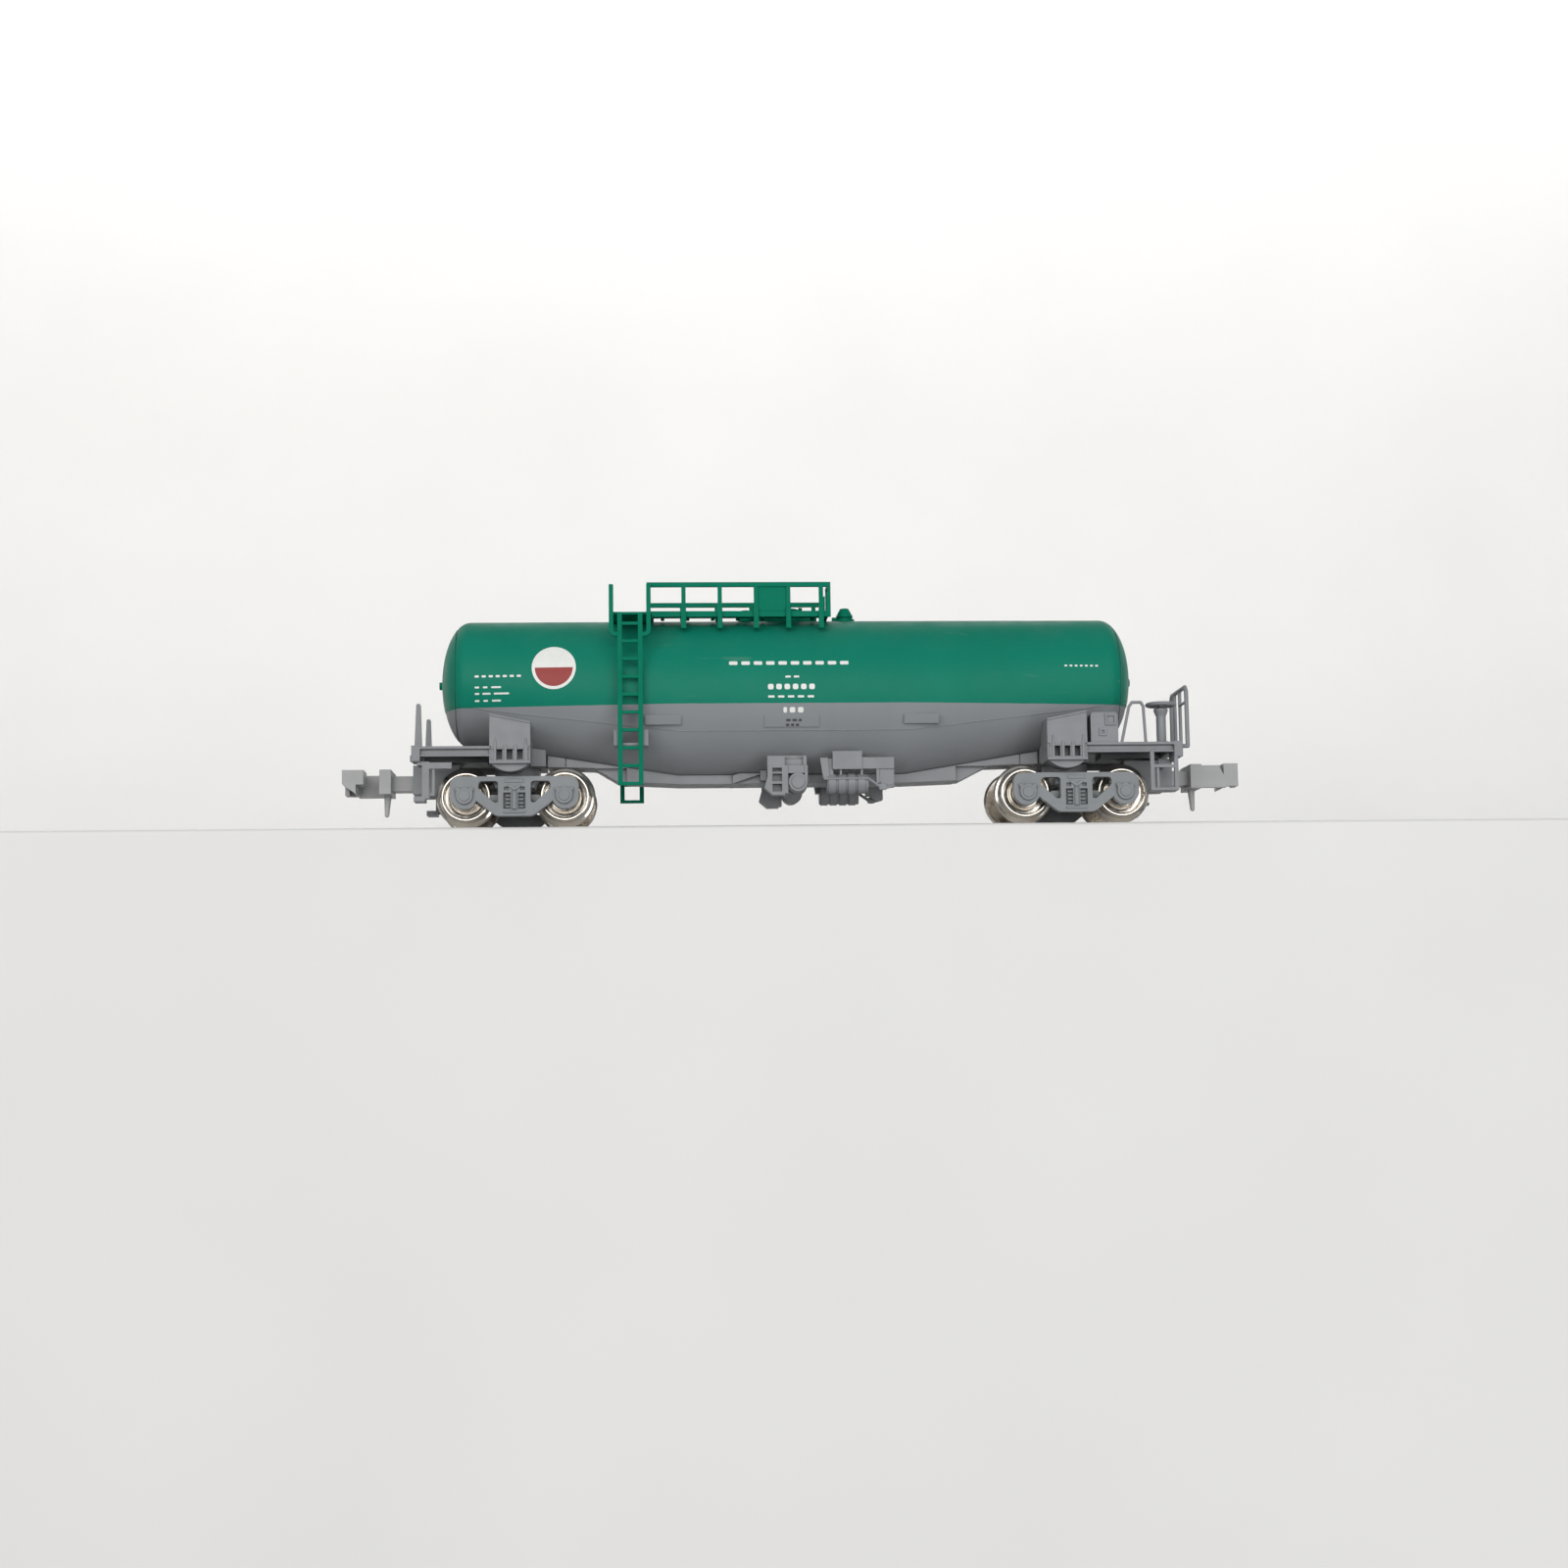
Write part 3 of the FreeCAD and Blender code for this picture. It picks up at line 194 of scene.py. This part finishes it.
def dust_share(m, amount):
    """Fine dust that lies thicker on upward faces."""
    upward = m.step(m.facing()[2], 0.35, 0.98)
    specks = m.step(m.noise(0.35 * MM, 4.0), 0.56, 0.74)
    clouds = m.step(m.noise(5 * MM, 3.0), 0.40, 0.75)
    lying = m.math("MULTIPLY", upward, clouds)
    share = m.math("MULTIPLY_ADD", specks, 0.35, lying)
    return m.math("MULTIPLY", share, amount)


def moulded(name, colour, roughness, dust=0.10, shine=0.35, edge_wear_and_highlight=0.35):
    """Injection-moulded plastic: flow mottling, fine texture, edges lightened as part abrasion and
    part painted highlight, painted shade in corners and recesses, and a little dust.
    """
    m = Nodes(name, roughness)
    mottled = m.mix(m.noise(4.5 * MM, 3.0), m.tint(colour, -0.10), m.tint(colour, 0.10))
    streaks = m.step(m.noise(1.6 * MM, 2.0, (0.25, 1.0, 1.6)), 0.45, 0.75, 0.0, 0.25)
    mottled = m.mix(streaks, mottled, m.tint(colour, 0.16))
    # Edges lightened: partly abrasion, partly a painted highlight where edges catch the light.
    rubbed_and_highlit = m.math("MULTIPLY", m.edges(0.09 * MM), edge_wear_and_highlight)
    rubbed_and_highlit = m.math("MULTIPLY", rubbed_and_highlit, m.step(m.noise(1.1 * MM, 3.0), 0.35, 0.60))
    wear_and_painted_light = m.mix(rubbed_and_highlit, mottled, m.tint(colour, 0.75))
    # Painted shade: corners and recesses darkened by an ambient-occlusion mask.
    shade_in_recesses = m.math("MULTIPLY", m.recess_shade_mask(0.9 * MM), 0.60)
    wear_and_painted_light = m.mix(shade_in_recesses, wear_and_painted_light, m.tint(colour, -0.75))
    m.colour(m.mix(dust_share(m, dust), wear_and_painted_light, DUST))
    m.roughness(m.step(m.noise(1.3 * MM, 4.0), 0.3, 0.7, roughness - 0.07, roughness + 0.08))
    m.bump(m.noise(0.16 * MM, 3.0), 0.004 * MM, 0.6)
    m.bump(m.noise(1.8 * MM, 2.0), 0.010 * MM, 0.4)
    m.shader.inputs["Specular IOR Level"].default_value = shine
    return m.material


def tank_paint():
    """Green over gray satin paint with a masked edge, faint runs, dust along the top, and edges
    lightened as part scuffed paint and part painted highlight.
    """
    m = Nodes("tank_two_tone_paint", 0.34)
    green = m.mix(m.noise(9 * MM, 4.0), m.tint(GREEN_PAINT, -0.10), m.tint(GREEN_PAINT, 0.12))
    gray = m.mix(m.noise(7 * MM, 4.0), m.tint(GRAY_PAINT, -0.07), m.tint(GRAY_PAINT, 0.07))
    runs = m.step(m.noise(2.2 * MM, 4.0, (1.0, 0.25, 0.25)), 0.50, 0.78, 0.0, 0.10)
    gray = m.mix(runs, gray, m.tint(GRAY_PAINT, -0.35))
    wobble = m.math("MULTIPLY_ADD", m.noise(1.2 * MM, 2.0), 0.05 * MM, PAINT_LINE_Z - 0.025 * MM)
    height = m.math("SUBTRACT", m.axes()[2], wobble)
    above = m.step(height, -0.015 * MM, 0.015 * MM)
    paint = m.mix(above, gray, green)
    # Edges lightened: partly scuffed paint, partly a painted highlight where edges catch the light.
    rubbed_and_highlit = m.math("MULTIPLY", m.edges(0.10 * MM), 0.30)
    paint = m.mix(rubbed_and_highlit, paint, (0.45, 0.50, 0.48))
    scuffs = m.step(m.noise(0.9 * MM, 5.0, (0.12, 1.0, 1.0)), 0.66, 0.78, 0.0, 0.10)
    paint = m.mix(scuffs, paint, (0.38, 0.42, 0.40))
    m.colour(m.mix(dust_share(m, 0.04), paint, DUST))
    satin = m.step(m.noise(3.0 * MM, 4.0), 0.3, 0.7, 0.34, 0.46)
    flat = m.math("MULTIPLY_ADD", above, -0.07, 0.09)
    m.roughness(m.math("ADD", satin, flat))
    m.bump(m.noise(0.22 * MM, 3.0), 0.004 * MM, 0.5)
    m.bump(m.noise(2.6 * MM, 2.0), 0.012 * MM, 0.35)
    m.bump(above, 0.01 * MM, 0.5)
    m.shader.inputs["Specular IOR Level"].default_value = 0.10
    return m.material


def turned_metal(name, colour, roughness, centre=None):
    """Bright metal with fine turning marks: round centre (x, z) if given, else across Y."""
    m = Nodes(name, roughness, 1.0)
    x, y, z = m.axes()
    if centre is None:
        radius = y
    else:
        dx, dz = m.math("SUBTRACT", x, centre[0]), m.math("SUBTRACT", z, centre[1])
        square = m.math("MULTIPLY_ADD", dx, dx, m.math("MULTIPLY", dz, dz))
        radius = m.math("SQRT", square)
    rings = m.tree.nodes.new("ShaderNodeTexNoise")
    rings.noise_dimensions = "1D"
    m.feed(rings.inputs["W"], radius)
    rings.inputs["Scale"].default_value = 1.0 / (0.06 * MM)
    rings.inputs["Detail"].default_value = 3.0
    stain = m.step(m.noise(1.7 * MM, 4.0), 0.45, 0.72, 0.0, 0.35)
    brown = tuple(c * t for c, t in zip(colour, (0.62, 0.52, 0.42)))
    clean = m.mix(rings.outputs[0], m.tint(colour, -0.12), m.tint(colour, 0.10))
    m.colour(m.mix(stain, clean, brown))
    m.roughness(m.step(m.noise(0.7 * MM, 4.0), 0.3, 0.75, roughness - 0.05, roughness + 0.12))
    m.bump(rings.outputs[0], 0.006 * MM, 0.5)
    m.bump(m.noise(0.4 * MM, 3.0), 0.003 * MM, 0.4)
    return m.material


def cast_steel(name, colour, roughness):
    """Rough steel with patches of rust."""
    m = Nodes(name, roughness, 1.0)
    rust = m.step(m.noise(2.2 * MM, 5.0), 0.50, 0.72, 0.0, 0.55)
    bare = m.mix(m.noise(0.8 * MM), m.tint(colour, -0.2), m.tint(colour, 0.1))
    m.colour(m.mix(rust, bare, (0.20, 0.11, 0.06)))
    m.roughness(m.step(m.noise(1.0 * MM, 4.0), 0.3, 0.7, roughness - 0.1, roughness + 0.15))
    m.bump(m.noise(0.3 * MM, 4.0), 0.02 * MM, 0.6)
    return m.material


def print_ink(name, colour):
    """Pad-printed ink: flat, slightly patchy, with pinholes."""
    m = Nodes(name, 0.48)
    patchy = m.mix(m.noise(0.6 * MM, 4.0), m.tint(colour, -0.12), m.tint(colour, 0.06))
    pinholes = m.step(m.noise(0.12 * MM, 3.0), 0.66, 0.74, 0.0, 0.45)
    m.colour(m.mix(pinholes, patchy, m.tint(colour, -0.35)))
    m.bump(m.noise(0.10 * MM, 3.0), 0.003 * MM, 0.5)
    return m.material


def paint_node(name, material):
    """Gives every slot of a CAD node this material."""
    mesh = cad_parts[name].data
    mesh.materials.clear()
    mesh.materials.append(material)


def paint_all():
    """Gives each CAD node the material of its moulding; each wheel gets its own turned metal."""
    green = moulded("walkway_green_plastic", GREEN_PLASTIC, 0.50, 0.01, 0.06, 0.45)
    gray = moulded("frame_gray_plastic", GRAY_PLASTIC, 0.44, 0.12)
    bogie = moulded("bogie_gray_plastic", GRAY_BOGIE, 0.46, 0.14)
    coupler = moulded("coupler_gray_plastic", GRAY_COUPLER, 0.40, 0.10)
    black = moulded("bush_black_plastic", BLACK_PLASTIC, 0.40, 0.05)
    tank = tank_paint()
    spring = turned_metal("spring_steel_wire", STEEL, 0.28)
    axle_steel = turned_metal("axle_turned_steel", STEEL, 0.30)
    weight = cast_steel("weight_rolled_steel", STEEL, 0.55)
    by_start = {
        "tank_shell": tank, "ballast": weight, "manhole": green, "vent": green, "walkway": green,
        "ladder_near": green, "ladder_far": green, "bogie_frame": bogie, "pocket_cover": bogie,
        "coupler_spring": spring, "coupler_": coupler, "axle": axle_steel, "insulating": black,
    }
    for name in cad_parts:
        if name.startswith("wheel_"):
            lo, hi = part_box(name)
            centre = (lo + hi) / 2
            paint_node(name, turned_metal("nickel_" + name, NICKEL, 0.14, (centre.x, centre.z)))
            continue
        chosen = gray
        for start, material in by_start.items():
            if name.startswith(start):
                chosen = material
                break
        paint_node(name, chosen)


# ------------------------------------------------------------------ printed markings


def tank_radius(x):
    """The tank's radius at x: largest amidships, with a straight line along the top."""
    centre_x = (TANK_LO.x + TANK_HI.x) / 2
    mid0, mid1 = TANK_MID_X
    reach = (TANK_HI.x - TANK_LO.x) / 2 - TANK_HEAD
    if x < mid0:
        share = (mid0 - x) / (mid0 - (centre_x - reach))
    elif x > mid1:
        share = (x - mid1) / ((centre_x + reach) - mid1)
    else:
        share = 0.0
    return TANK_R_MID - (TANK_R_MID - TANK_R_END) * share


def on_tank(x, z, side, lift):
    """The point on the tank's flank at x and height z, lifted off the paint."""
    r = tank_radius(x)
    centre = TANK_TOP - r
    y = sqrt(max(r * r - (z - centre) ** 2, 0.0))
    out = Vector((0.0, side * y, z - centre)).normalized()
    return Vector((x, side * y, z)) + out * lift


def print_patch(bm, outline, side, lift, material_index=0):
    """A flat printed shape: rings of points from its outline in to its middle."""
    count = len(outline)
    middle = Vector((sum(p[0] for p in outline) / count, sum(p[1] for p in outline) / count))
    rings = []
    for share in (1.0, 0.66, 0.33):
        ring = []
        for x, z in outline:
            px = middle.x + (x - middle.x) * share
            pz = middle.y + (z - middle.y) * share
            ring.append(bm.verts.new(on_tank(px, pz, side, lift)))
        rings.append(ring)
    for outer, inner in zip(rings, rings[1:]):
        for i in range(count):
            j = (i + 1) % count
            face = bm.faces.new((outer[i], outer[j], inner[j], inner[i]))
            face.material_index = material_index
    centre = bm.verts.new(on_tank(middle.x, middle.y, side, lift))
    for i in range(count):
        face = bm.faces.new((rings[-1][i], rings[-1][(i + 1) % count], centre))
        face.material_index = material_index


def bar_outline(x0, x1, z0, z1, steps=4):
    """A printed bar with slightly rounded corners, with points along its long sides."""
    corner = min(x1 - x0, z1 - z0) * 0.2
    flat = x1 - x0 - 2 * corner
    middle = (z0 + z1) / 2
    points = [(x0 + corner + flat * i / steps, z0) for i in range(steps + 1)]
    points += [(x1, z0 + corner), (x1, middle), (x1, z1 - corner)]
    points += [(x1 - corner - flat * i / steps, z1) for i in range(steps + 1)]
    points += [(x0, z1 - corner), (x0, middle), (x0, z0 + corner)]
    return points


def disc_outline(x, z, r, start=0.0, turn=2 * pi, count=48):
    """A full circle, or the part of one that turns from start."""
    last = count if turn >= 2 * pi else count + 1
    angles = [start + turn * i / count for i in range(last)]
    return [(x + r * cos(angle), z + r * sin(angle)) for angle in angles]


def finish_piece(name, bm, materials, body):
    """Turns the built mesh into a piece that rides on the body."""
    mesh = bpy.data.meshes.new(name)
    bmesh.ops.recalc_face_normals(bm, faces=bm.faces)
    bm.to_mesh(mesh)
    bm.free()
    for material in materials:
        mesh.materials.append(material)
    for polygon in mesh.polygons:
        polygon.use_smooth = True
    piece = bpy.data.objects.new(name, mesh)
    bpy.context.scene.collection.objects.link(piece)
    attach(piece, body)


def mark_row(bm, x0, z0, height, widths, gap, side, lift=INK_LIFT):
    """A row of plain bars, standing in for a line of print."""
    x = x0
    for width in widths:
        print_patch(bm, bar_outline(x, x + width, z0, z0 + height), side, lift)
        x += width + gap


def tank_markings(side, label, inks):
    """Rows of plain bars, each as left end, foot, height, widths and gap in millimetres."""
    bm = bmesh.new()
    rows = [
        (-7.5, 17.65, 0.42, (0.95,) * 10, 0.43),
        (-1.25, 16.15, 0.22, (0.6, 0.6), 0.35),
        (-3.2, 14.82, 0.62, (0.62,) * 6, 0.30),
        (-3.2, 13.90, 0.24, (0.72,) * 5, 0.38),
        (-35.8, 16.58, 0.24, (0.46,) * 7, 0.32),
        (-35.8, 15.38, 0.20, (0.5, 0.5, 1.1), 0.42),
        (-35.8, 14.68, 0.20, (0.5, 0.9, 1.7), 0.36),
        (-35.8, 13.92, 0.20, (0.5, 0.5, 1.0), 0.45),
        (30.4, 17.50, 0.20, (0.32,) * 7, 0.27),
        (-1.5, 12.25, 0.60, (0.40, 0.62, 0.62), 0.30),
    ]
    for x0, z0, height, widths, gap in rows:
        scaled = [w * MM for w in widths]
        mark_row(bm, x0 * MM, z0 * MM, height * MM, scaled, gap * MM, side)
    finish_piece("tank_marking_" + label, bm, [inks["white"]], "wagon")


def tank_badge(side, label, inks):
    """A plain white disc whose lower half is red."""
    bm = bmesh.new()
    lower_half = disc_outline(BADGE_X, BADGE_Z, BADGE_R * 0.86, pi, pi, 24)
    print_patch(bm, disc_outline(BADGE_X, BADGE_Z, BADGE_R), side, INK_LIFT, 0)
    print_patch(bm, lower_half, side, SECOND_INK_LIFT, 1)
    finish_piece("tank_badge_" + label, bm, [inks["white"], inks["red"]], "wagon")


def pad_markings(side, label, inks):
    """Two small dark lines on the raised plate at the middle of the tank."""
    bm = bmesh.new()
    pad_lift = 0.145 * MM
    for z0, widths in ((11.35, (0.5, 0.5, 0.35)), (10.85, (0.35, 0.35, 0.35))):
        scaled = [w * MM for w in widths]
        mark_row(bm, -1.2 * MM, z0 * MM, 0.26 * MM, scaled, 0.2 * MM, side, pad_lift)
    finish_piece("plate_marking_" + label, bm, [inks["dark"]], "wagon")


def part_line_z(x):
    """Height of the line where the tank's two shells meet, rising towards both ends."""
    mid0, mid1 = TANK_MID_X
    return PART_LINE_Z + PART_LINE_SLOPE * max(0.0, mid0 - x, x - mid1)


def mould_line(side, label, material):
    """The fine raised line left where the tank's upper and lower shells are joined."""
    bm = bmesh.new()
    start, end, count = -35.0 * MM, 33.8 * MM, 72
    half, lift = 0.035 * MM, 0.03 * MM
    profile = ((-half, -lift), (-half * 0.6, lift), (half * 0.6, lift), (half, -lift))
    sections = []
    for i in range(count + 1):
        x = start + (end - start) * i / count
        z = part_line_z(x)
        sections.append([bm.verts.new(on_tank(x, z + dz, side, out)) for dz, out in profile])
    for a, b in zip(sections, sections[1:]):
        for j in range(len(a)):
            k = (j + 1) % len(a)
            bm.faces.new((a[j], a[k], b[k], b[j]))
    bm.faces.new(sections[0])
    bm.faces.new(sections[-1][::-1])
    finish_piece("mould_line_" + label, bm, [material], "wagon")


def markings():
    """Markings, badge and mould line on both flanks of the tank."""
    inks = {
        "white": print_ink("print_white", PRINT_WHITE),
        "red": print_ink("print_red", PRINT_RED),
        "dark": print_ink("print_dark", PRINT_DARK),
    }
    line = moulded("mould_line_gray", GRAY_COUPLER, 0.40, 0.05)
    for side, label in ((-1, "near"), (1, "far")):
        tank_markings(side, label, inks)
        tank_badge(side, label, inks)
        pad_markings(side, label, inks)
        mould_line(side, label, line)


# ------------------------------------------------------------------ floor, light and camera


def stage():
    """A pale ledge that the wagon stands on, sweeping up behind into a plain backdrop."""
    m = Nodes("ledge_pale", 0.75)
    m.colour(m.mix(m.noise(40 * MM, 3.0), (0.74, 0.735, 0.72), (0.80, 0.795, 0.78)))
    m.bump(m.noise(1.0 * MM, 3.0), 0.01 * MM, 0.3)
    front, back, half, drop, rise = -6.2 * MM, 260 * MM, 420 * MM, -260 * MM, 420 * MM
    edge, sweep, steps = 0.6 * MM, 120 * MM, 16
    outline = [(front, drop)]
    for i in range(7):
        t = i * pi / 12
        outline.append((front + edge - edge * cos(t), -edge + edge * sin(t)))
    centre_y, centre_z = back - sweep, sweep
    for i in range(steps + 1):
        t = i * pi / 2 / steps
        outline.append((centre_y + sweep * sin(t), centre_z - sweep * cos(t)))
    outline.append((back, rise))
    bm = bmesh.new()
    left = [bm.verts.new((-half, y, z)) for y, z in outline]
    right = [bm.verts.new((half, y, z)) for y, z in outline]
    for i in range(len(outline) - 1):
        bm.faces.new((left[i], right[i], right[i + 1], left[i + 1])).smooth = True
    mesh = bpy.data.meshes.new("ledge")
    bm.to_mesh(mesh)
    bm.free()
    mesh.materials.append(m.material)
    ledge = bpy.data.objects.new("ledge", mesh)
    bpy.context.scene.collection.objects.link(ledge)


def area_light(name, place, target, size, watts, colour=(1.0, 1.0, 1.0)):
    """A rectangular lamp at place, facing target."""
    data = bpy.data.lights.new(name, "AREA")
    data.shape = "RECTANGLE"
    data.size, data.size_y = size
    data.energy = watts
    data.color = colour
    light = bpy.data.objects.new(name, data)
    light.location = place
    light.rotation_euler = (Vector(target) - Vector(place)).to_track_quat("-Z", "Y").to_euler()
    bpy.context.scene.collection.objects.link(light)


def studio():
    """Broad soft light from in front, a little above level, over a world that darkens downwards."""
    world = bpy.data.worlds.new("studio")
    bpy.context.scene.world = world
    world.use_nodes = True
    tree = world.node_tree
    back = tree.nodes["Background"]
    back.inputs["Color"].default_value = (0.86, 0.87, 0.90, 1.0)
    split = tree.nodes.new("ShaderNodeSeparateXYZ")
    tree.links.new(tree.nodes.new("ShaderNodeTexCoord").outputs["Generated"], split.inputs[0])
    fade = tree.nodes.new("ShaderNodeMapRange")
    for socket, value in zip(list(fade.inputs)[1:5], (-0.6, 0.6, 0.16, 0.38)):
        socket.default_value = value
    tree.links.new(split.outputs["Z"], fade.inputs["Value"])
    tree.links.new(fade.outputs[0], back.inputs["Strength"])
    middle = (0.0, 0.0, 12 * MM)
    area_light("key", (-0.15, -0.62, 0.16), middle, (0.90, 0.45), 3.5, (1.0, 0.99, 0.97))
    area_light("backdrop", (0.0, 0.10, 0.30), (0.0, 0.26, 0.24), (0.80, 0.16), 0.8)
    area_light("fill", (0.34, -0.52, -0.10), middle, (0.30, 0.40), 1.05, (0.97, 0.985, 1.0))


def camera():
    """A long lens near the wagon's middle, a little below its wheels."""
    data = bpy.data.cameras.new("camera")
    data.sensor_width = 36.0
    data.lens = CAMERA_LENS
    data.clip_start, data.clip_end = 0.01, 5.0
    cam = bpy.data.objects.new("camera", data)
    cam.location = CAMERA_AT
    level = cos(CAMERA_PITCH)
    aim = Vector((sin(CAMERA_YAW) * level, cos(CAMERA_YAW) * level, sin(CAMERA_PITCH)))
    turn = aim.to_track_quat("-Z", "Y").to_matrix()
    cam.rotation_mode = "QUATERNION"
    cam.rotation_quaternion = (Matrix.Rotation(CAMERA_ROLL, 3, aim) @ turn).to_quaternion()
    bpy.context.scene.collection.objects.link(cam)
    bpy.context.scene.camera = cam
    bpy.context.scene.view_settings.view_transform = "Standard"


paint_all()
markings()
stage()
studio()
camera()

bpy.context.view_layer.update()
